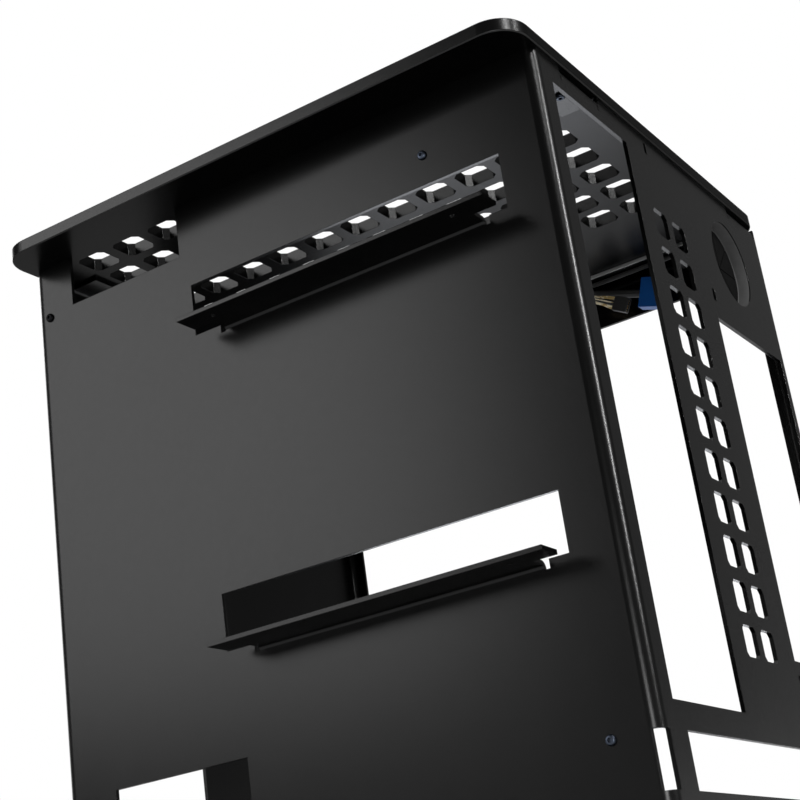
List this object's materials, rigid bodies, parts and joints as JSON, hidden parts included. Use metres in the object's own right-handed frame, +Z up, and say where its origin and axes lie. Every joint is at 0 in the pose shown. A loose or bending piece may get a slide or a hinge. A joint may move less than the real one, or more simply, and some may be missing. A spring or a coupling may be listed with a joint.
{
  "type": "computer case",
  "caption": "Tall aluminium computer case with thick round-cornered plates, a vented roof, a folded body, cable slots with ledges and an open side.",
  "frame": {"origin": "on the floor, under the middle of the plates", "axes": "+Z up, front towards -Y, rear towards +Y, cable tray on the +X side, open side towards -X"},
  "size_m": [0.44, 0.459, 0.547],
  "materials": {
    "anodised_sheet": "satin black anodised",
    "anodised_plate": "satin black anodised",
    "button_metal": "satin black anodised",
    "nickel": "bright nickel",
    "black_plastic": "moulded",
    "blue_plastic": "moulded",
    "board": "varnished",
    "lead_jacket": "matt jacket",
    "rubber": "matt"
  },
  "bodies": {
    "root": {"audio_jack": "black_plastic", "audio_lead": "lead_jacket", "audio_plug": "black_plastic", "bottom_plate": "anodised_plate", "feet": "anodised_plate", "foot_pads": "rubber", "io_board": "board", "io_bracket": "anodised_sheet", "lead_saddles": "black_plastic", "left_top_rail": "anodised_sheet", "switch_body": "anodised_plate", "switch_clip": "black_plastic", "switch_lead": "lead_jacket", "switch_plug": "black_plastic", "top_plate": "anodised_plate", "usb_lead": "lead_jacket", "usb_plug": "blue_plastic", "usb_port_1": "nickel", "usb_port_2": "nickel", "wrap_sheet": "anodised_sheet"},
    "button": {"power_button": "button_metal"}
  },
  "joints": [
    {"name": "power_button_press", "type": "slide", "parent": "root", "child": "button", "axis": [0, 1, 0], "range_m": [0, 0.0015], "stiffness_N_per_m": 1000}
  ]
}
